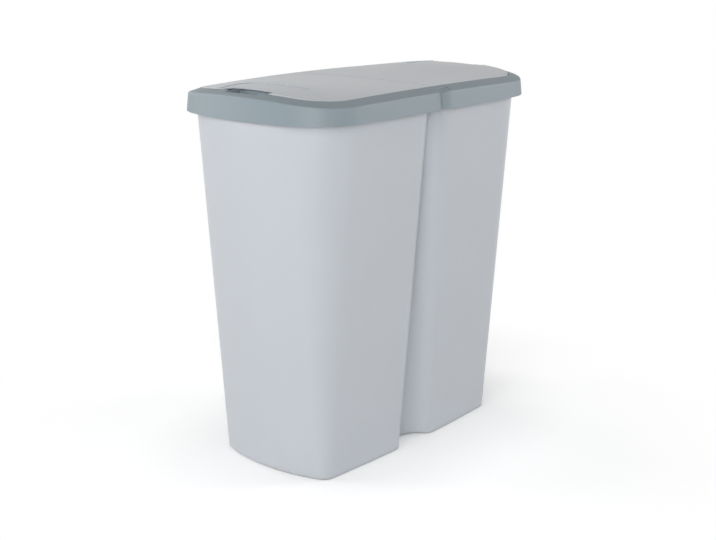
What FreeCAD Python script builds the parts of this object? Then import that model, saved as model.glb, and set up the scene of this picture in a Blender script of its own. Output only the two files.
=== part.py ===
# Double recycling bin: one moulded body with two wells side by side, a lid frame that sits on
# its rim, and two flaps that hinge on the frame's crossbar and open from their outer ends.
# Frame: +X along the row of wells, +Y to the back, +Z up; origin on the floor, in the middle.
import FreeCAD
import Part
import math
import os
import re
from FreeCAD import Placement, Rotation, Vector

doc = FreeCAD.newDocument("double_recycling_bin")
sheet = doc.addObject("Spreadsheet::Sheet", "Sizes")

# name, value in millimetres, what it is
SIZES = [
    # body
    ("body_height", 485.5, "floor to the top of the body's rim"),
    ("base_half_length", 198.7, "middle to the end of the base"),
    ("base_half_width", 100.0, "middle to the side of the base"),
    ("base_end_bow", 12.0, "how far the base's end bulges"),
    ("base_side_bow", 6.0, "how far the base's side bulges"),
    ("base_corner", 18.0, "corner radius of the base"),
    ("mouth_half_length", 241.0, "middle to the end of the body at its rim"),
    ("mouth_half_width", 127.0, "middle to the side of the body at its rim"),
    ("mouth_end_bow", 7.0, "how far the end bulges at the rim"),
    ("mouth_side_bow", 3.5, "how far the side bulges at the rim"),
    ("mouth_corner", 69.5, "corner radius at the rim"),
    ("body_wall", 2.4, "wall of the body"),
    ("foot_recess", 3.0, "how far the floor stands above the foot edge"),
    ("foot_width", 8.0, "width of the foot edge"),
    ("foot_round", 3.5, "rounding of the foot edge"),
    ("divider", 2.2, "wall between the wells"),
    ("divider_drop", 12.0, "rim down to the top of the divider"),
    # waist between the wells
    ("waist_base_half", 43.0, "half width of the waist at the floor"),
    ("waist_base_depth", 27.0, "depth of the waist at the floor"),
    ("waist_base_shoulder", 15.0, "rounding where the waist meets the side at the floor"),
    ("waist_top_half", 27.0, "half width of the waist at the rim"),
    ("waist_top_depth", 19.0, "depth of the waist at the rim"),
    ("waist_top_shoulder", 22.0, "rounding where the waist meets the side at the rim"),
    # rim of the body
    ("rim_gap", 0.5, "play between the body's rim and the lid frame's skirt"),
    ("rim_lip", 8.0, "height of the rim's turned down lip"),
    ("rim_wall", 2.2, "thickness of the rim"),
    # lid frame
    ("skirt_bottom", 472.5, "floor to the lower edge of the lid frame"),
    ("frame_half_length", 245.5, "middle to the end of the lid frame"),
    ("frame_half_width", 139.0, "middle to the side of the lid frame"),
    ("frame_end_bow", 4.5, "how far the frame's end bulges"),
    ("frame_side_bow", 3.3, "how far the frame's side bulges"),
    ("frame_corner", 76.0, "corner radius of the frame"),
    ("skirt_lean", 2.4, "how far the skirt leans in up to its upper edge"),
    ("frame_wall", 2.2, "wall of the lid frame"),
    ("rim_band", 19.0, "skirt to the opening for the flaps"),
    ("band_rise", 3.3, "rise of the sloping band besides the crown"),
    ("band_round", 3.0, "rounding between the band and the skirt"),
    ("inner_bottom", 478.5, "height of the lower edge of the frame's inner wall"),
    ("notch_half", 20.0, "half width of the notch in the middle of each long side"),
    ("notch_depth", 4.8, "depth of that notch"),
    ("crease_half", 0.6, "half width of the crease at the bottom of the notch"),
    ("crease_depth", 1.2, "depth of that crease"),
    ("notch_end", 6.0, "opening to where the notch has faded out on the band"),
    # crown of the lid
    ("crown_middle", 510.7, "height of the frame's crown over the middle"),
    ("crown_reach", 250.0, "where the fall along the lid is measured"),
    ("crown_fall", 5.75, "fall of the crown at crown_reach"),
    ("side_reach", 150.0, "where the fall across the lid is measured"),
    ("side_fall", 14.2, "fall of the crown at side_reach"),
    ("seam_height", 503.4, "height of the flaps at the seam"),
    ("seam_fall", 2.7, "fall of the seam at side_reach"),
    ("peak_at", 150.0, "where the flaps reach the frame's crown again"),
    # flaps
    ("flap_gap", 1.0, "gap between a flap and the frame"),
    ("seam_gap", 2.0, "gap between the two flaps"),
    ("flap_wall", 2.4, "thickness of a flap"),
    ("flap_rim", 4.6, "height of the flap's turned down edge"),
    ("flap_edge", 2.2, "thickness of that edge"),
    ("flap_round", 0.8, "rounding of a flap's upper edges"),
    ("bite_half", 38.0, "half width of the finger cut-out in a flap"),
    ("bite_depth", 15.0, "depth of that cut-out"),
    ("bite_round", 9.0, "corner radius of that cut-out"),
    ("press_half", 61.0, "half width of the finger panel where it begins"),
    ("press_end_half", 40.0, "half width of the finger panel beyond the flap's end"),
    ("press_at", 159.0, "middle to where the finger panel begins"),
    ("press_corner", 16.0, "corner radius of the finger panel"),
    ("press_sink", 0.9, "depth of the finger panel's step"),
    # hinge
    ("hinge_x", 12.0, "middle to a flap's hinge line"),
    ("hinge_z", 497.5, "height of the hinge line"),
    ("pin_radius", 2.0, "radius of a flap's hinge pin"),
    ("pin_reach", 3.2, "how far a hinge pin stands out of its lug"),
    ("pin_root", 2.5, "how far a hinge pin reaches into its lug"),
    ("pin_play", 0.06, "radial play of the pin in its hole"),
    ("lug_radius", 4.0, "radius of the lug that carries the pin"),
    ("lug_wall", 3.0, "thickness of the lug"),
    ("boss_radius", 4.5, "radius of the boss round the hole"),
    ("boss_depth", 4.2, "depth of that boss from the opening"),
    ("hole_depth", 2.6, "depth of the hole from the opening"),
    # crossbar
    ("bar_half", 26.0, "half width of the crossbar"),
    ("bar_wall", 2.0, "wall of the crossbar"),
    ("bar_end", 102.0, "middle to the end of the crossbar's floor"),
    ("waist_space", 34.0, "half width over which the frame stays above the body's waist"),
    ("rim_space", 0.8, "height between the rim and the frame over the waist"),
    ("bar_floor", 483.4, "height of the crossbar's underside"),
    ("bar_top", 495.0, "height of the crossbar's side walls"),
    # ledge and ribs
    ("ledge_width", 5.0, "how far the ledge under the flaps stands in"),
    ("ledge_wall", 2.2, "thickness of that ledge"),
    ("rest_gap", 0.4, "gap between a closed flap and the ledge"),
    ("rib_wall", 1.8, "thickness of the frame's ribs"),
    ("rib_pitch", 50.0, "distance between the frame's ribs"),
    # finger scoop
    ("scoop_half", 27.0, "half width of the finger scoop"),
    ("scoop_radius", 14.7, "radius of the scoop's bowl"),
    ("scoop_x", 219.5, "middle to the axis of the scoop's bowl"),
    ("scoop_z", 509.2, "height of the axis of the scoop's bowl"),
    ("scoop_wall", 2.0, "wall of the scoop and its tray"),
    ("tray_half", 42.0, "half width of the tray round the scoop"),
    ("tray_inner", 203.0, "middle to the inner side of the tray"),
    ("tray_floor", 486.0, "height of the tray's underside"),
]
for row, (alias, value, note) in enumerate(SIZES, start=1):
    sheet.set("A%d" % row, alias)
    sheet.set("B%d" % row, str(value))
    sheet.set("C%d" % row, note)
    sheet.setAlias("B%d" % row, alias)
doc.recompute()


ALIASES = sorted((alias for alias, value, note in SIZES), key=len, reverse=True)


def size(alias):
    """The value of one named size, in millimetres."""
    return float(sheet.get(alias))


def bind(made, path, rule):
    """Set a property to an expression that is written with the sheet's names."""
    made.setExpression(path, re.sub(r"\b(%s)\b" % "|".join(ALIASES), r"Sizes.\1", rule))


# ---------------------------------------------------------------- outlines
def plan(half_length, half_width, end_bow, side_bow, corner, waist=None):
    """A bowed, rounded rectangle; waist = (half width, depth, shoulder radius) or None."""
    return dict(half_length=half_length, half_width=half_width, end_bow=end_bow,
                side_bow=side_bow, corner=corner, waist=waist)


def arc_edge(centre, radius, start, end, height):
    """An arc about centre from angle start to angle end, at the given height."""
    points = []
    for angle in (start, 0.5 * (start + end), end):
        points.append(Vector(centre[0] + radius * math.cos(angle),
                             centre[1] + radius * math.sin(angle), height))
    return Part.Arc(*points).toShape()


def outline(shape, height, inset=0.0):
    """Closed wire of a plan at one height, moved in by inset; every arc meets the next smoothly."""
    corner = shape["corner"]
    end_chord = shape["half_width"] - shape["side_bow"] - corner
    side_chord = shape["half_length"] - shape["end_bow"] - corner
    end_radius = (end_chord ** 2 + shape["end_bow"] ** 2) / (2 * shape["end_bow"])
    side_radius = (side_chord ** 2 + shape["side_bow"] ** 2) / (2 * shape["side_bow"])
    end_centre = (shape["half_length"] - end_radius, 0.0)
    side_centre = (0.0, shape["half_width"] - side_radius)
    # the corner's centre lies on a circle about each of the two
    reach_end = end_radius - corner
    reach_side = side_radius - corner
    apart = math.hypot(end_centre[0], side_centre[1])
    along = (reach_end ** 2 - reach_side ** 2 + apart ** 2) / (2 * apart)
    off = math.sqrt(reach_end ** 2 - along ** 2)
    ux = -end_centre[0] / apart
    uy = side_centre[1] / apart
    candidates = [(end_centre[0] + along * ux - sign * off * uy,
                   along * uy + sign * off * ux) for sign in (1, -1)]
    corner_centre = max(candidates)
    end_angle = math.atan2(corner_centre[1], corner_centre[0] - end_centre[0])
    side_angle = math.atan2(corner_centre[1] - side_centre[1], corner_centre[0])
    # centre, radius, start, end for the end at +X and the side at +Y
    arcs = [(end_centre, end_radius - inset, -end_angle, end_angle),
            (corner_centre, corner - inset, end_angle, side_angle)]
    left_corner = (-corner_centre[0], corner_centre[1])
    if shape["waist"] is None:
        arcs.append((side_centre, side_radius - inset, side_angle, math.pi - side_angle))
    else:
        half, depth, shoulder = shape["waist"]
        shoulder_y = side_centre[1] + math.sqrt((side_radius - shoulder) ** 2 - half ** 2)
        floor_y = shape["half_width"] - depth
        rise = floor_y - shoulder_y
        hollow = (half ** 2 + rise ** 2 - shoulder ** 2) / (2 * (shoulder - rise))
        floor_centre = (0.0, floor_y + hollow)
        turn = math.atan2(shoulder_y - side_centre[1], half)
        lean = math.atan2(floor_centre[1] - shoulder_y, -half)
        arcs += [(side_centre, side_radius - inset, side_angle, turn),
                 ((half, shoulder_y), shoulder - inset, turn, lean),
                 (floor_centre, hollow + inset, lean - math.pi, -lean),
                 ((-half, shoulder_y), shoulder - inset, math.pi - lean, math.pi - turn),
                 (side_centre, side_radius - inset, math.pi - turn, math.pi - side_angle)]
    arcs.append((left_corner, corner - inset, math.pi - side_angle, math.pi - end_angle))
    edges = []
    for flip in (1, -1):
        spin = 0.0 if flip > 0 else math.pi
        for centre, radius, start, end in arcs:
            edges.append(arc_edge((flip * centre[0], flip * centre[1]), radius,
                                  start + spin, end + spin, height))
    return Part.Wire(edges)


def blend(low, high, share):
    """The plan that lies share of the way from low to high."""
    mixed = {key: low[key] + share * (high[key] - low[key]) for key in low if key != "waist"}
    mixed["waist"] = None
    return mixed


# ---------------------------------------------------------------- document objects
def feature(name, shape):
    """A plain feature that holds a wire worked out from the sheet."""
    made = doc.addObject("Part::Feature", name)
    made.Shape = shape
    return made


def loft(name, wires, ruled=True):
    """A solid loft through the wires."""
    made = doc.addObject("Part::Loft", name)
    made.Sections = [feature("%s_section_%d" % (name, i), w) for i, w in enumerate(wires)]
    made.Solid = True
    made.Ruled = ruled
    return made


def place(made, x="0", y="0", z="0"):
    """Bind a feature's place to the sheet."""
    for axis, rule in zip("xyz", (x, y, z)):
        bind(made, "Placement.Base." + axis, rule)
    return made


def box(name, low, lengths):
    """A box; low and lengths are three expressions each."""
    made = doc.addObject("Part::Box", name)
    for side, rule in zip(("Length", "Width", "Height"), lengths):
        bind(made, side, rule)
    return place(made, *low)


def rod(name, start, radius, length):
    """A cylinder along +Y from start; all are expressions."""
    made = doc.addObject("Part::Cylinder", name)
    bind(made, "Radius", radius)
    bind(made, "Height", length)
    made.Placement = Placement(Vector(), Rotation(Vector(1, 0, 0), -90))
    return place(made, *start)


def cut(name, base, tool, merge=True):
    """base without tool; merge joins faces that continue one another."""
    made = doc.addObject("Part::Cut", name)
    made.Base = base
    made.Tool = tool
    made.Refine = merge
    return made


def common(name, base, tool):
    made = doc.addObject("Part::Common", name)
    made.Base = base
    made.Tool = tool
    return made


def fuse(name, shapes):
    made = doc.addObject("Part::MultiFuse", name)
    made.Shapes = shapes
    return made


def mirrored(name, source, normal):
    made = doc.addObject("Part::Mirroring", name)
    made.Source = source
    made.Normal = normal
    return made


def with_mirror(name, source, normal):
    """The source and its mirror image, as one shape."""
    return fuse(name, [source, mirrored(name + "_mirror", source, normal)])


def lowered(name, source, rule):
    """The source moved down by an expression."""
    made = doc.addObject("Part::Compound", name)
    made.Links = [source]
    return place(made, z="-(%s)" % rule)


def rounded(name, source, radius, wanted):
    """Fillet of the source's edges for which wanted(edge) is true."""
    doc.recompute()
    made = doc.addObject("Part::Fillet", name)
    made.Base = source
    made.Edges = [(index, radius, radius)
                  for index, edge in enumerate(source.Shape.Edges, start=1) if wanted(edge)]
    return made


# ---------------------------------------------------------------- body
height = size("body_height")
wall = size("body_wall")
base_plan = plan(size("base_half_length"), size("base_half_width"), size("base_end_bow"),
                 size("base_side_bow"), size("base_corner"))
mouth_plan = plan(size("mouth_half_length"), size("mouth_half_width"), size("mouth_end_bow"),
                  size("mouth_side_bow"), size("mouth_corner"))


def body_plan(z):
    """The body's outline at height z, with its waist; upright over the foot's rounding."""
    share = max(0.0, z - size("foot_round")) / (height - size("foot_round"))
    shape = blend(base_plan, mouth_plan, share)
    shape["waist"] = tuple(size("waist_base_" + key) * (1 - share) + size("waist_top_" + key) * share
                           for key in ("half", "depth", "shoulder"))
    return shape


floor_top = size("foot_recess") + wall
foot_round = size("foot_round")
foot_turns = [math.radians(degrees) for degrees in (0, 22.5, 45, 67.5, 90)]
body_foot = loft("body_foot", [outline(body_plan(0.0), foot_round * (1 - math.cos(turn)),
                                       foot_round * (1 - math.sin(turn))) for turn in foot_turns],
                 ruled=False)
body_block = loft("body_block", [outline(body_plan(z), z) for z in (foot_round, height)])
body_round = fuse("body_rounded", [body_foot, body_block])
body_well = loft("body_well", [outline(body_plan(z), z, wall) for z in (floor_top, height + 3 * wall)])
foot_cut = loft("foot_cut", [outline(body_plan(0.0), z, size("foot_width"))
                             for z in (-size("foot_recess"), size("foot_recess"))])
divider = box("divider_wall", ("-divider / 2", "-mouth_half_width", "0"),
              ("divider", "2 * mouth_half_width", "body_height - divider_drop"))
divider_in = common("divider_inside", divider, body_block)


# the lid frame's outline is also the guide for the body's rim
frame_plan = plan(size("frame_half_length"), size("frame_half_width"), size("frame_end_bow"),
                  size("frame_side_bow"), size("frame_corner"))
skirt_bottom = size("skirt_bottom")


def crown_height(x, y):
    """Height of the lid frame's crown over a point of the plan."""
    return (size("crown_middle") - size("crown_fall") * (x / size("crown_reach")) ** 2
            - size("side_fall") * (y / size("side_reach")) ** 2)


def edge_height(x, y):
    """Height of the upper edge of the skirt."""
    return crown_height(x, y) - size("band_rise")


skirt_top_low = edge_height(size("frame_half_length") - size("frame_corner") / 2,
                            size("frame_half_width") - size("frame_corner") / 4)


def skirt_inset(z):
    """How far the skirt has leaned in at height z, at its steepest place."""
    return size("skirt_lean") * (z - skirt_bottom) / (skirt_top_low - skirt_bottom)


def skin_wire(inset, lift):
    """The frame's outline on its crown, as curves in space: inset inwards, lift above the skirt."""
    edges = []
    for edge in outline(frame_plan, 0.0, inset).Edges:
        points = [Vector(p.x, p.y, edge_height(p.x, p.y) + lift) for p in edge.discretize(9)]
        curve = Part.BSplineCurve()
        curve.interpolate(points)
        edges.append(curve.toShape())
    return Part.Wire(edges)


def frame_block(name, inward, down, bottom):
    """The lid frame's outer form, or that form shrunk by a wall."""
    lean = size("skirt_lean")
    band = size("rim_band") - lean
    past = 3.0  # the band runs on past the opening, which is cut later
    slope = size("band_rise") / band
    roof = size("crown_middle") + 6.0
    wires = [outline(frame_plan, bottom, inward + skirt_inset(bottom)),
             skin_wire(lean + inward, -down),
             skin_wire(size("rim_band") + past, size("band_rise") + slope * past - down),
             outline(frame_plan, roof - down, 2 * size("rim_band"))]
    return loft(name, wires)


def notch_cutter(name):
    """The notch in the middle of the long side at -Y: up the skirt, then fading over the band."""
    half = size("notch_half")
    depth = size("notch_depth")
    slit = size("crease_half")
    proud = 0.15  # starts just outside the skin, so that the cut has a clean edge
    out = 15.0
    lean = size("skirt_lean")
    half_width = size("frame_half_width")
    edge_z = edge_height(0.0, half_width - lean)
    opening = half_width - size("rim_band")

    def section(start, inwards, deep, crease):
        """Two arcs and a crease between them; start is on the skin, inwards points into it."""
        def at(x, d):
            return start + Vector(x, 0, 0) + inwards * d
        run = half - slit
        radius = (run ** 2 + (deep + proud) ** 2) / (2 * (deep + proud))
        sink = radius - math.sqrt(radius ** 2 - (run / 2) ** 2)
        left = Part.Arc(at(-half, -proud), at(-half + run / 2, sink - proud), at(-slit, deep)).toShape()
        right = Part.Arc(at(slit, deep), at(half - run / 2, sink - proud), at(half, -proud)).toShape()
        bottom = [Part.makeLine(at(-slit, deep), at(0, deep + crease)),
                  Part.makeLine(at(0, deep + crease), at(slit, deep))]
        corners = [at(half, -proud), at(half, -out), at(-half, -out), at(-half, -proud)]
        sides = [Part.makeLine(a, b) for a, b in zip(corners, corners[1:])]
        return Part.Wire([left] + bottom + [right] + sides)

    low = skirt_bottom - 10.0
    fade = size("notch_end")
    slope = size("band_rise") / (size("rim_band") - lean)
    fade_z = edge_z + size("band_rise") - slope * fade + 0.6
    wires = [section(Vector(0, -(half_width - skirt_inset(low)), low), Vector(0, 1, 0),
                     depth, size("crease_depth")),
             section(Vector(0, -(half_width - lean), edge_z), Vector(0, 1, -0.6),
                     depth, size("crease_depth")),
             section(Vector(0, -(opening + fade), fade_z), Vector(0, 0, -1), 0.1, 0.1)]
    return loft(name, wires)


notch = notch_cutter("notch")
both_notches = with_mirror("notches", notch, Vector(0, 1, 0))


def notch_behind(name, rule):
    """The notch moved inwards by an expression, for a wall behind it, on both sides."""
    moved = doc.addObject("Part::Compound", name + "_one")
    moved.Links = [notch]
    place(moved, y=rule, z="-0.6 * (%s)" % rule)
    return with_mirror(name, moved, Vector(0, 1, 0))


# rim: a flange with a turned down lip, just inside the lid frame's skirt
rim_top = height
rim_low = height - size("rim_lip")
rim_offset = size("frame_wall") + size("rim_gap")
rim_block = loft("rim_block", [outline(frame_plan, z, rim_offset + skirt_inset(z))
                               for z in (rim_low, rim_top)])
rim_notched = cut("rim_notched", rim_block, notch_behind("rim_notch", "frame_wall + rim_gap"))
rim_hollow = loft("rim_hollow", [outline(frame_plan, z, rim_offset + size("rim_wall") + skirt_inset(z))
                                 for z in (rim_low - wall, rim_top - size("rim_wall"))])
rim_hollow_notched = cut("rim_hollow_notched", rim_hollow,
                         notch_behind("rim_hollow_notch", "frame_wall + rim_gap + rim_wall"))
rim = cut("rim", rim_notched, rim_hollow_notched)

body_solid = fuse("body_with_rim", [body_round, rim])
body_open = cut("body_open", body_solid, body_well)
body_divided = fuse("body_divided", [body_open, divider_in])
body = cut("body", body_divided, foot_cut)
doc.recompute()

# ---------------------------------------------------------------- top of the flaps
def flap_skin(name):
    """Everything below the flaps' top: the frame's crown, sunk towards the seam."""
    reach = size("side_reach")
    floor_z = skirt_bottom - 30.0
    peak = size("peak_at")
    end = size("crown_reach")
    wires = []
    for x in (-end, -peak, 0.0, peak, end):
        top = size("seam_height") if x == 0 else crown_height(x, 0.0)
        fall = size("seam_fall") if x == 0 else size("side_fall")
        left = Vector(x, -reach, top - fall)
        right = Vector(x, reach, top - fall)
        arc = Part.Arc(left, Vector(x, 0, top), right).toShape()
        corners = [right, Vector(x, reach, floor_z), Vector(x, -reach, floor_z), left]
        sides = [Part.makeLine(a, b) for a, b in zip(corners, corners[1:])]
        wires.append(Part.Wire([arc] + sides))
    return loft(name, wires, ruled=False)


flap_crown = flap_skin("flap_crown")

# ---------------------------------------------------------------- lid frame
above = crown_height(0.0, 0.0) + 100.0  # clear of the lid, for tools that reach past it


def upright_prism(name, wire_inset, low, high):
    """A prism on the frame's outline, from height low to high."""
    return loft(name, [outline(frame_plan, z, wire_inset) for z in (low, high)])


frame_wall = size("frame_wall")
rim_band = size("rim_band")
inner_bottom = size("inner_bottom")
frame_outer = frame_block("frame_outer", 0.0, 0.0, skirt_bottom)


def skirt_edge(edge):
    """True for the edges where the skirt meets the sloping band."""
    centre = edge.CenterOfMass
    inset = 0.5 * edge.BoundBox.ZLength + abs(
        edge_height(centre.x, centre.y) - centre.z)
    points = edge.discretize(5)
    heights = [abs(p.z - edge_height(p.x, p.y)) for p in points]
    return max(heights) < 0.05 and edge.Length > 20 and inset < 20


frame_rounded = rounded("frame_rounded", frame_outer, size("band_round"), skirt_edge)
frame_cavity = frame_block("frame_cavity", frame_wall, frame_wall, skirt_bottom - 8.0)
cavity_notched = cut("cavity_notched", frame_cavity, notch_behind("cavity_notch", "frame_wall"))
frame_shell = cut("frame_shell", frame_rounded, cavity_notched)
opening = upright_prism("opening", rim_band, inner_bottom - 40.0, above)
frame_ring = cut("frame_ring", frame_shell, opening)

# inner wall, ribs and bosses end within the thickness of the frame's outer wall
inner_block = upright_prism("inner_block", rim_band - frame_wall, inner_bottom, above - 20.0)
inner_wall = cut("inner_wall", inner_block, opening)
bar_reach = "(frame_half_width - rim_band + frame_wall)"
bar_outer = box("bar_outer", ("-bar_half", "-" + bar_reach, "bar_floor"),
                ("2 * bar_half", "2 * " + bar_reach, "bar_top - bar_floor"))
bar_inner = box("bar_inner", ("-bar_half + bar_wall", "-(frame_half_width - rim_band)",
                              "bar_floor + bar_wall"),
                ("2 * (bar_half - bar_wall)", "2 * (frame_half_width - rim_band)", "50"))
bar = cut("bar", bar_outer, bar_inner)
waist_spaces = with_mirror("waist_spaces", box("waist_space_box",
                                               ("-waist_space", "bar_end", "bar_floor - 20"),
                                               ("2 * waist_space", "40",
                                                "body_height + rim_space - bar_floor + 20")),
                           Vector(0, 1, 0))

rib_bars = []
across = int(size("frame_half_length") / size("rib_pitch"))
for count in range(-across, across + 1):
    if count == 0:
        continue
    rib_bars.append(box("rib_across_%d" % (count + across),
                        ("%d * rib_pitch - rib_wall / 2" % count, "-frame_half_width", "body_height"),
                        ("rib_wall", "2 * frame_half_width", "30")))
for count in (-1, 1):
    rib_bars.append(box("rib_along_%d" % (count + 1),
                        ("-frame_half_length", "%d * rib_pitch - rib_wall / 2" % count, "body_height"),
                        ("2 * frame_half_length", "rib_wall", "30")))
rib_grid = fuse("rib_grid", rib_bars)
ribs = cut("ribs", rib_grid, opening)

bosses = []
holes = []
opening_y = "(frame_half_width - rim_band)"
for side, sign in (("left", "-"), ("right", "")):
    where = sign + "hinge_x"
    bosses.append(rod("boss_" + side, (where, opening_y + " + 0.5", "hinge_z"), "boss_radius",
                      "boss_depth - 0.5"))
    holes.append(rod("hole_" + side, (where, opening_y + " - 2", "hinge_z"), "pin_radius + pin_play",
                     "hole_depth + 2"))
boss_pairs = with_mirror("bosses", fuse("boss_pair", bosses), Vector(0, 1, 0))
hole_pairs = with_mirror("holes", fuse("hole_pair", holes), Vector(0, 1, 0))

# ledge that a closed flap nearly touches
ledge_inner = upright_prism("ledge_inner", rim_band + size("ledge_width"), inner_bottom - 10.0, above)
ledge_outer = upright_prism("ledge_outer", rim_band - frame_wall / 2, inner_bottom, above - 20.0)
ledge_ring = cut("ledge_ring", ledge_outer, ledge_inner)
ledge_top = lowered("ledge_top", flap_crown, "flap_rim + rest_gap")
ledge_under = lowered("ledge_under", flap_crown, "flap_rim + rest_gap + ledge_wall")
ledge_below = common("ledge_below", ledge_ring, ledge_top)
ledge_whole = cut("ledge_whole", ledge_below, ledge_under)
hinge_space = box("hinge_space", ("-bar_half + bar_wall", "-" + opening_y, "bar_floor + bar_wall"),
                  ("2 * (bar_half - bar_wall)", "2 * " + opening_y, "50"))
ledge_split = cut("ledge_split", ledge_whole, hinge_space)
bite_zone = box("bite_zone", ("-frame_half_length", "-bite_half", "bar_floor"),
                ("2 * frame_half_length", "2 * bite_half", "80"))
ledge = cut("ledge", ledge_split, bite_zone)

# finger scoop at the end at -X: a bowl that runs from the band to under the flap's edge
scoop_wide = "(scoop_half + scoop_wall)"
bowl = rod("bowl", ("-scoop_x", "-scoop_half", "scoop_z"), "scoop_radius", "2 * scoop_half")
bowl_outer = rod("bowl_outer", ("-scoop_x", "-" + scoop_wide, "scoop_z"), "scoop_radius + scoop_wall",
                 "2 * " + scoop_wide)
scoop_top = lowered("scoop_top", flap_crown, "flap_wall + rest_gap")
scoop_below = common("scoop_below", bowl_outer, scoop_top)
# the tray round it, so that nothing falls past the scoop into the well
opening_x = "(frame_half_length - rim_band)"
tray_box = box("tray_box", ("-(%s + 1)" % opening_x, "-tray_half", "tray_floor"),
               ("%s + 1 - tray_inner" % opening_x, "2 * tray_half", "40"))
tray_space = box("tray_space", ("-(%s - 0.5)" % opening_x, "-(tray_half - scoop_wall)",
                                "tray_floor + scoop_wall"),
                 ("%s - 0.5 - tray_inner - scoop_wall" % opening_x, "2 * (tray_half - scoop_wall)", "40"))
tray = common("tray", cut("tray_hollow", tray_box, tray_space), ledge_top)
both_scoops = with_mirror("scoops", fuse("scoop_in_tray", [tray, scoop_below]), Vector(1, 0, 0))
both_bowls = with_mirror("bowls", bowl, Vector(1, 0, 0))

frame_middle = frame_block("frame_middle", frame_wall / 2, frame_wall / 2, skirt_bottom - 8.0)
inner_kept, ribs_kept, bosses_kept, scoops_kept = [
    common(part.Name + "_kept", part, frame_middle)
    for part in (inner_wall, ribs, boss_pairs, both_scoops)]
ring_scooped, scoops_open, inner_scooped = [
    cut(part.Name + "_scooped", part, both_bowls) for part in (frame_ring, scoops_kept, inner_kept)]
# over the body's waist the inner wall and the crossbar stay above the body's rim
inner_freed, bar_freed = [
    cut(part.Name + "_freed", part, waist_spaces) for part in (inner_scooped, bar)]
frame_made = fuse("frame_made", [ring_scooped, scoops_open, inner_freed, ledge, ribs_kept,
                                 bosses_kept, bar_freed])
frame_drilled = cut("frame_drilled", frame_made, hole_pairs, merge=False)
lid_frame = cut("lid_frame", frame_drilled, both_notches, merge=False)
doc.recompute()

# ---------------------------------------------------------------- flaps
flap_inset = rim_band + size("flap_gap")
low_z = skirt_bottom - 20.0
high_z = crown_height(0.0, 0.0) + 20.0


def corner_wire(corners, radii, z):
    """A closed polygon with rounded corners; radius 0 leaves a corner sharp."""
    points = [Vector(x, y, z) for x, y in corners]
    starts = []
    ends = []
    middles = []
    for index, point in enumerate(points):
        before = (points[index - 1] - point).normalize()
        after = (points[(index + 1) % len(points)] - point).normalize()
        half_turn = 0.5 * before.getAngle(after)
        radius = radii[index]
        run = radius / math.tan(half_turn)
        starts.append(point + before * run)
        ends.append(point + after * run)
        bisector = (before + after).normalize()
        middles.append(point + bisector * (radius / math.sin(half_turn) - radius))
    edges = []
    for index in range(len(points)):
        if radii[index] > 0:
            edges.append(Part.Arc(starts[index], middles[index], ends[index]).toShape())
        following = (index + 1) % len(points)
        edges.append(Part.makeLine(ends[index], starts[following]))
    return Part.Wire(edges)


def corner_prism(name, corners, radii):
    """A tall prism on a rounded polygon."""
    return loft(name, [corner_wire(corners, radii, z) for z in (low_z, high_z)])


flap_end = size("frame_half_length") - flap_inset
bite_at = flap_end - size("bite_depth")
bite_half = size("bite_half")
bite_round = size("bite_round")
beyond = flap_end + 20.0
bite = corner_prism("bite", [(-beyond, -bite_half), (-bite_at, -bite_half),
                             (-bite_at, bite_half), (-beyond, bite_half)],
                    [0, bite_round, bite_round, 0])
press_half = size("press_half")
press_end = size("press_end_half")
press_corner = size("press_corner")
press = corner_prism("press", [(-beyond, -press_end), (-size("press_at"), -press_half),
                               (-size("press_at"), press_half), (-beyond, press_end)],
                     [0, press_corner, press_corner, 0])

lid_area = loft("lid_area", [outline(frame_plan, z, flap_inset) for z in (low_z, high_z)])
lid_core = loft("lid_core", [outline(frame_plan, z, flap_inset + size("flap_edge")) for z in (low_z, high_z)])
left_half = box("left_half", ("-frame_half_length", "-frame_half_width", "bar_floor - 30"),
                ("frame_half_length - seam_gap / 2", "2 * frame_half_width", "100"))
flap_area = cut("flap_area", common("flap_area_whole", lid_area, left_half), bite)
panel_space = cut("panel_space", press, lowered("panel_top", flap_crown, "press_sink"))
below_top = cut("flap_below_top", common("flap_crowned", flap_area, flap_crown), panel_space)
plate = cut("flap_plate", below_top, lowered("flap_under", flap_crown, "flap_wall"))
edge_band = cut("flap_edge_band", below_top, lowered("flap_edge_under", flap_crown, "flap_rim"))
flap_lip = cut("flap_lip", edge_band, lid_core)

side_y = "(frame_half_width - rim_band - flap_gap)"
lug_disc = rod("lug_disc", ("-hinge_x", side_y + " - lug_wall", "hinge_z"), "lug_radius", "lug_wall - 0.1")
lug_web = box("lug_web", ("-hinge_x - lug_radius", side_y + " - lug_wall", "hinge_z"),
              ("2 * lug_radius", "lug_wall - 0.1", "seam_height - seam_fall - flap_wall / 2 - hinge_z"))
pin = rod("pin", ("-hinge_x", side_y + " - pin_root", "hinge_z"), "pin_radius", "pin_root + pin_reach")
lugs = with_mirror("lugs", fuse("lug", [lug_disc, lug_web, pin]), Vector(0, 1, 0))
flap_shell = fuse("flap_shell", [plate, flap_lip])


doc.recompute()
crown_skin = max(flap_crown.Shape.Faces, key=lambda face: face.CenterOfMass.z)
upright_faces = [face for face in flap_area.Shape.Faces if face.BoundBox.ZLength > 1.0]


def on_top_edge(edge):
    """True for an edge where the flap's top meets its sides."""
    points = [Part.Vertex(p) for p in edge.discretize(3)]
    touching = Part.makeCompound(upright_faces)
    return edge.Length > 5.0 and max(point.distToShape(skin)[0] for point in points
                                     for skin in (crown_skin, touching)) < 0.02


flap_eased = rounded("flap_eased", flap_shell, size("flap_round"), on_top_edge)
flap_left = fuse("flap_left", [flap_eased, lugs])
flap_right = mirrored("flap_right", flap_left, Vector(1, 0, 0))
doc.recompute()

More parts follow.
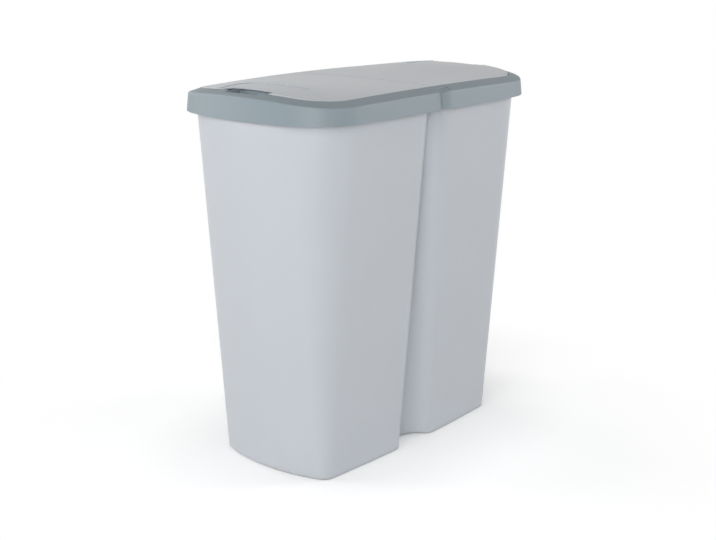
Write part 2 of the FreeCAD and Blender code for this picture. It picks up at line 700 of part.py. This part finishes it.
# ---------------------------------------------------------------- nodes
nodes = {"body": body, "lid_frame": lid_frame, "flap_left": flap_left, "flap_right": flap_right}
faults = [made.Name for made in doc.Objects if {"Invalid", "Error"} & set(made.State)]
if faults:
    raise RuntimeError("features in error: " + ", ".join(faults))
os.makedirs("parts", exist_ok=True)
for name, made in nodes.items():
    made.Label = name
    shape = made.Shape
    if shape.isNull() or not shape.isValid() or len(shape.Solids) != 1:
        raise RuntimeError(name + " isn't one valid solid")
    shape.exportStep("parts/%s.step" % name)
    bounds = shape.BoundBox
    print("%s: %.1f x %.1f x %.1f mm, %.1f cm3" % (name, bounds.XLength, bounds.YLength,
                                                  bounds.ZLength, shape.Volume / 1000))
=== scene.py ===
# %% [markdown]
# # Double recycling bin
# The real bin is four plastic mouldings: a body with two wells, a lid frame that sits on its rim,
# and two flaps that hinge in that frame. The solids already have the right shapes and places, so
# this notebook keeps them and gives them their finish, then adds light, a floor and a camera.
# Everything is in metres: X along the two wells, Y to the back, Z up.

# %% Load the solids
import bpy
import math
from mathutils import Matrix, Vector

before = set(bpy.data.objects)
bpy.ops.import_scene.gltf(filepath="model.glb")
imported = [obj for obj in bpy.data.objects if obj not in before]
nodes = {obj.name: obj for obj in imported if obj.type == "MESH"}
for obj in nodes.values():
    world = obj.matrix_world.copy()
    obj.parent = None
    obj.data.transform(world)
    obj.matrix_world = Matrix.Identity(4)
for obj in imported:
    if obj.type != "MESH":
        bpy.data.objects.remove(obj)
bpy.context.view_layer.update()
print("solids:", sorted(nodes))

# %% [markdown]
# ## The moulded surface
# All four pieces are satin polypropylene. Up close the mould leaves a very fine spark-eroded grain,
# the gloss varies a little where the plastic cooled unevenly, and handling leaves faint rubbed
# streaks along the height of a wall. These could be painted as images, but a node group keeps them
# sharp at any size, and every material can use them at its own strength.

# %% Helpers for node trees
def new_group(name, inputs, outputs):
    """An empty shader group with named float inputs and outputs."""
    group = bpy.data.node_groups.new(name, "ShaderNodeTree")
    for label, value in inputs:
        socket = group.interface.new_socket(label, in_out="INPUT", socket_type="NodeSocketFloat")
        socket.default_value = value
    for label, kind in outputs:
        group.interface.new_socket(label, in_out="OUTPUT", socket_type=kind)
    return group


def put(tree, kind, **settings):
    """A node with its settings."""
    node = tree.nodes.new(kind)
    for key, value in settings.items():
        setattr(node, key, value)
    return node


def noise(tree, scale, detail, roughness, vector):
    """A noise texture on the given coordinates; returns its value."""
    made = put(tree, "ShaderNodeTexNoise")
    made.inputs["Scale"].default_value = scale
    made.inputs["Detail"].default_value = detail
    made.inputs["Roughness"].default_value = roughness
    tree.links.new(vector, made.inputs["Vector"])
    return made.outputs["Fac"]


def calculate(tree, operation, *values):
    """A math node; each value is a number or another node's output."""
    made = put(tree, "ShaderNodeMath", operation=operation)
    for socket, value in zip(made.inputs, values):
        if isinstance(value, (int, float)):
            socket.default_value = value
        else:
            tree.links.new(value, socket)
    return made.outputs[0]


# %% Group: moulded grain, gloss patches and rubbed streaks
surface = new_group("moulded_surface",
                    [("Base Roughness", 0.4), ("Patch Strength", 0.08), ("Grain Depth", 0.1),
                     ("Tone Spread", 0.02)],
                    [("Roughness", "NodeSocketFloat"), ("Tone", "NodeSocketFloat"),
                     ("Normal", "NodeSocketVector")])
inlet = put(surface, "NodeGroupInput")
outlet = put(surface, "NodeGroupOutput")
place = put(surface, "ShaderNodeTexCoord").outputs["Object"]
stretched = put(surface, "ShaderNodeMapping")
stretched.inputs["Scale"].default_value = (60.0, 60.0, 4.0)  # streaks run up and down a wall
surface.links.new(place, stretched.inputs["Vector"])

patches = calculate(surface, "SUBTRACT", noise(surface, 9.0, 5.0, 0.55, place), 0.5)
streaks = calculate(surface, "SUBTRACT", noise(surface, 1.0, 3.0, 0.6, stretched.outputs[0]), 0.5)
mottle = calculate(surface, "MULTIPLY_ADD", streaks, 0.35, patches)
roughness = calculate(surface, "MULTIPLY_ADD", mottle, inlet.outputs["Patch Strength"],
                      inlet.outputs["Base Roughness"])
tone = calculate(surface, "MULTIPLY_ADD", mottle, inlet.outputs["Tone Spread"], 1.0)
surface.links.new(roughness, outlet.inputs["Roughness"])
surface.links.new(tone, outlet.inputs["Tone"])

bump = put(surface, "ShaderNodeBump")
bump.inputs["Distance"].default_value = 0.0001  # metres; spark-eroded grain is this shallow
surface.links.new(inlet.outputs["Grain Depth"], bump.inputs["Strength"])
surface.links.new(noise(surface, 1400.0, 2.0, 0.5, place), bump.inputs["Height"])
surface.links.new(bump.outputs["Normal"], outlet.inputs["Normal"])
print("group:", surface.name, "with", len(surface.nodes), "nodes")

# %% [markdown]
# ## Painted shade in the joints
# Painted shade darkens the colour where two walls meet: along the seam, round the flaps, in the
# crease and under the skirt. Ambient occlusion finds these places, because a point in a narrow gap
# sees little of the open air. A patchy noise keeps the painted shade from being even.

# %% Group: painted shade in narrow places
# painted shade: the colour is darker where ambient occlusion finds little open air
crease_shade = new_group("painted_crease_shade", [("Amount", 0.3)], [("Tone", "NodeSocketFloat")])
inlet = put(crease_shade, "NodeGroupInput")
outlet = put(crease_shade, "NodeGroupOutput")
hollows = put(crease_shade, "ShaderNodeAmbientOcclusion", samples=6)
hollows.inputs["Distance"].default_value = 0.007  # metres; narrower gaps than this get painted shade
shut_in = calculate(crease_shade, "SUBTRACT", 1.0, hollows.outputs["AO"])
place = put(crease_shade, "ShaderNodeTexCoord").outputs["Object"]
patchy = calculate(crease_shade, "ADD", noise(crease_shade, 35.0, 4.0, 0.6, place), 0.4)
patchy_shade = calculate(crease_shade, "MULTIPLY", shut_in, patchy)
shade_amount = calculate(crease_shade, "MULTIPLY", patchy_shade, inlet.outputs["Amount"])
crease_shade.links.new(calculate(crease_shade, "SUBTRACT", 1.0, shade_amount), outlet.inputs["Tone"])
print("group:", crease_shade.name, "with", len(crease_shade.nodes), "nodes")

# %% [markdown]
# ## Two greys
# The body and the flaps are a pale, slightly cool grey. The lid frame is a darker blue grey. The
# flaps are a little glossier than the body, as a smaller moulding that is polished for the lid.

# %% Materials
POLYPROPYLENE_IOR = 1.49


def plastic(name, colour, roughness, patch, grain_depth, spread, crease_shading):
    """Satin plastic of one colour, with the moulded surface's detail and painted shade in narrow
    gaps.
    """
    material = bpy.data.materials.new(name)
    material.use_nodes = True
    tree = material.node_tree
    shader = tree.nodes["Principled BSDF"]
    shader.inputs["IOR"].default_value = POLYPROPYLENE_IOR
    detail = put(tree, "ShaderNodeGroup", node_tree=surface)
    detail.inputs["Base Roughness"].default_value = roughness
    detail.inputs["Patch Strength"].default_value = patch
    detail.inputs["Grain Depth"].default_value = grain_depth
    detail.inputs["Tone Spread"].default_value = spread
    # painted shade: the colour is darkened in narrow gaps, where shade falls
    painted_shade = put(tree, "ShaderNodeGroup", node_tree=crease_shade)
    painted_shade.inputs["Amount"].default_value = crease_shading
    tone = calculate(tree, "MULTIPLY", detail.outputs["Tone"], painted_shade.outputs["Tone"])
    tinted = put(tree, "ShaderNodeMix", data_type="RGBA", blend_type="MULTIPLY")
    tinted.inputs["Factor"].default_value = 1.0
    # the Mix node keeps a socket of each kind: 6 and 7 are its two colours, 2 is the colour result
    tinted.inputs[6].default_value = (*colour, 1.0)
    tree.links.new(tone, tinted.inputs[7])
    tree.links.new(tinted.outputs[2], shader.inputs["Base Color"])
    tree.links.new(detail.outputs["Roughness"], shader.inputs["Roughness"])
    tree.links.new(detail.outputs["Normal"], shader.inputs["Normal"])
    return material


PALE_GREY = (0.585, 0.615, 0.655)
FRAME_GREY = (0.262, 0.318, 0.350)
# the last number is the strength of the painted shade in narrow gaps
body_plastic = plastic("body_plastic", PALE_GREY, 0.36, 0.12, 0.5, 0.04, 0.25)
flap_plastic = plastic("flap_plastic", PALE_GREY, 0.33, 0.10, 0.4, 0.04, 0.25)
frame_plastic = plastic("frame_plastic", FRAME_GREY, 0.50, 0.12, 0.6, 0.05, 0.3)
finishes = {"body": body_plastic, "lid_frame": frame_plastic,
            "flap_left": flap_plastic, "flap_right": flap_plastic}
for name, material in finishes.items():
    for slot in nodes[name].material_slots:
        slot.material = material
    print(name, "->", material.name)

# %% [markdown]
# ## Floor and backdrop
# The photograph has a pure white ground with one soft shadow by the bin. More light would wash the
# bin out, so only rays that come straight from the camera, or from a glossy or clear surface, get
# a lift: they see the lit floor plus a little glow, which is white where nothing shades the floor.
# The glow fades close to the foot, where ambient occlusion finds little open air, and this paints
# a soft shadow there. Away from the bin white takes over altogether, so the ground has no edge.

# %% Light paths that see the white ground
def seen_directly(tree):
    """1 for camera, glossy and transmission rays, else 0."""
    path = put(tree, "ShaderNodeLightPath")
    either = calculate(tree, "MAXIMUM", path.outputs["Is Camera Ray"],
                       path.outputs["Is Glossy Ray"])
    return calculate(tree, "MAXIMUM", either, path.outputs["Is Transmission Ray"])


# %% Floor
FLOOR_SIZE = 12.0  # metres
FLOOR_TONE = 0.86
FLOOR_ROUGHNESS = 0.9
FLOOR_LIFT = 0.48
SHADOW_ENDS = (0.30, 0.60)  # metres from the middle of the bin
SHADOW_REACH = 0.16  # metres; how far the painted soft shadow round the foot spreads


def shadowed_white(name):
    """A pale floor with the bin's shadow, a painted shadow at the foot, and white elsewhere."""
    material = bpy.data.materials.new(name)
    material.use_nodes = True
    tree = material.node_tree
    lit = tree.nodes["Principled BSDF"]
    lit.inputs["Base Color"].default_value = (FLOOR_TONE, FLOOR_TONE, FLOOR_TONE, 1.0)
    lit.inputs["Roughness"].default_value = FLOOR_ROUGHNESS
    direct = seen_directly(tree)
    open_air = put(tree, "ShaderNodeAmbientOcclusion", samples=6)
    open_air.inputs["Distance"].default_value = SHADOW_REACH
    full_lift = calculate(tree, "MULTIPLY", direct, FLOOR_LIFT)
    # painted shadow: the glow is dimmed near the foot, where ambient occlusion finds little open
    # air
    lift_with_painted_shadow = calculate(tree, "MULTIPLY", full_lift, open_air.outputs["AO"])
    glow = put(tree, "ShaderNodeEmission")
    tree.links.new(lift_with_painted_shadow, glow.inputs["Strength"])
    near = put(tree, "ShaderNodeAddShader")
    tree.links.new(lit.outputs[0], near.inputs[0])
    tree.links.new(glow.outputs[0], near.inputs[1])
    place = put(tree, "ShaderNodeTexCoord")
    distance = put(tree, "ShaderNodeVectorMath", operation="LENGTH")
    tree.links.new(place.outputs["Object"], distance.inputs[0])
    reach = put(tree, "ShaderNodeMapRange", interpolation_type="SMOOTHSTEP")
    reach.inputs["From Min"].default_value = SHADOW_ENDS[0]
    reach.inputs["From Max"].default_value = SHADOW_ENDS[1]
    tree.links.new(distance.outputs["Value"], reach.inputs["Value"])
    share = calculate(tree, "MULTIPLY", reach.outputs[0], direct)
    white = put(tree, "ShaderNodeEmission")
    mixed = put(tree, "ShaderNodeMixShader")
    tree.links.new(share, mixed.inputs[0])
    tree.links.new(near.outputs[0], mixed.inputs[1])
    tree.links.new(white.outputs[0], mixed.inputs[2])
    tree.links.new(mixed.outputs[0], tree.nodes["Material Output"].inputs["Surface"])
    return material


bpy.ops.mesh.primitive_plane_add(size=FLOOR_SIZE, location=(0, 0, 0))
floor = bpy.context.object
floor.name = "studio_floor"
floor.data.materials.append(shadowed_white("studio_floor"))

# %% World
SKY_STRENGTH = 0.06
world = bpy.data.worlds.new("studio")
bpy.context.scene.world = world
world.use_nodes = True
sky = world.node_tree.nodes["Background"]
direct = seen_directly(world.node_tree)
strength = calculate(world.node_tree, "MULTIPLY_ADD", direct, 1.0 - SKY_STRENGTH, SKY_STRENGTH)
world.node_tree.links.new(strength, sky.inputs["Strength"])
sky.inputs["Color"].default_value = (1.0, 1.0, 1.0, 1.0)

# %% [markdown]
# ## Lamps
# The real bin stands in a soft studio: its left end is bright, the long side is a shade darker, and
# the lid catches a pale reflection from behind. Square area lamps on a sphere round the bin give
# this. Each is named by where it stands, turned from +X towards +Y and raised above the floor.

# %% Lamps
LAMP_AIM = Vector((0.0, 0.0, 0.3))
LAMP_DISTANCE = 2.6
LAMPS = [
    # name, degrees round, degrees up, side in metres, watts
    ("back_lamp", 88, 24, 1.0, 9.0),
    ("back_left_lamp", 126, 14, 1.0, 20.0),
    ("left_low_lamp", 218, 14, 0.8, 25.0),
    ("left_high_lamp", 195, 30, 1.0, 15.0),
    ("right_lamp", 322, 17, 1.0, 25.0),
]


def soft_lamp(name, around, above, side, watts):
    """A square area lamp that points at the bin."""
    around, above = math.radians(around), math.radians(above)
    direction = Vector((math.cos(above) * math.cos(around), math.cos(above) * math.sin(around),
                        math.sin(above)))
    data = bpy.data.lights.new(name, "AREA")
    data.size = side
    data.energy = watts
    lamp = bpy.data.objects.new(name, data)
    bpy.context.scene.collection.objects.link(lamp)
    lamp.location = LAMP_AIM + LAMP_DISTANCE * direction
    lamp.rotation_euler = (-direction).to_track_quat("-Z", "Y").to_euler()


for lamp_values in LAMPS:
    soft_lamp(*lamp_values)
print("lamps:", len(LAMPS), "with", sum(values[-1] for values in LAMPS), "watts in all")

# %% [markdown]
# ## Camera
# The place and lens come from matching the straight edges of the real bin in the photograph.

# %% Camera
CAMERA_AT = Vector((-1.3196, -1.0976, 0.7007))
YAW, PITCH, ROLL = 0.874, 0.266, 0.004  # radians
LENS_PIXELS = 1260.5  # focal length, in pixels of the photograph
SENSOR_WIDTH = 36.0  # millimetres
PHOTO_WIDTH = 716
forward = Vector((math.sin(YAW) * math.cos(PITCH), math.cos(YAW) * math.cos(PITCH),
                  -math.sin(PITCH)))
right = Vector((math.cos(YAW), -math.sin(YAW), 0.0))
up = right.cross(forward)
right_rolled = math.cos(ROLL) * right + math.sin(ROLL) * up
up_rolled = -math.sin(ROLL) * right + math.cos(ROLL) * up
camera_data = bpy.data.cameras.new("camera")
camera_data.sensor_width = SENSOR_WIDTH
camera_data.lens = LENS_PIXELS * camera_data.sensor_width / PHOTO_WIDTH
camera = bpy.data.objects.new("camera", camera_data)
bpy.context.scene.collection.objects.link(camera)
turn = Matrix((right_rolled, up_rolled, -forward)).transposed().to_4x4()
camera.matrix_world = Matrix.Translation(CAMERA_AT) @ turn
bpy.context.scene.camera = camera
bpy.context.scene.view_settings.view_transform = "Standard"
print("lens %.2f mm" % camera_data.lens)
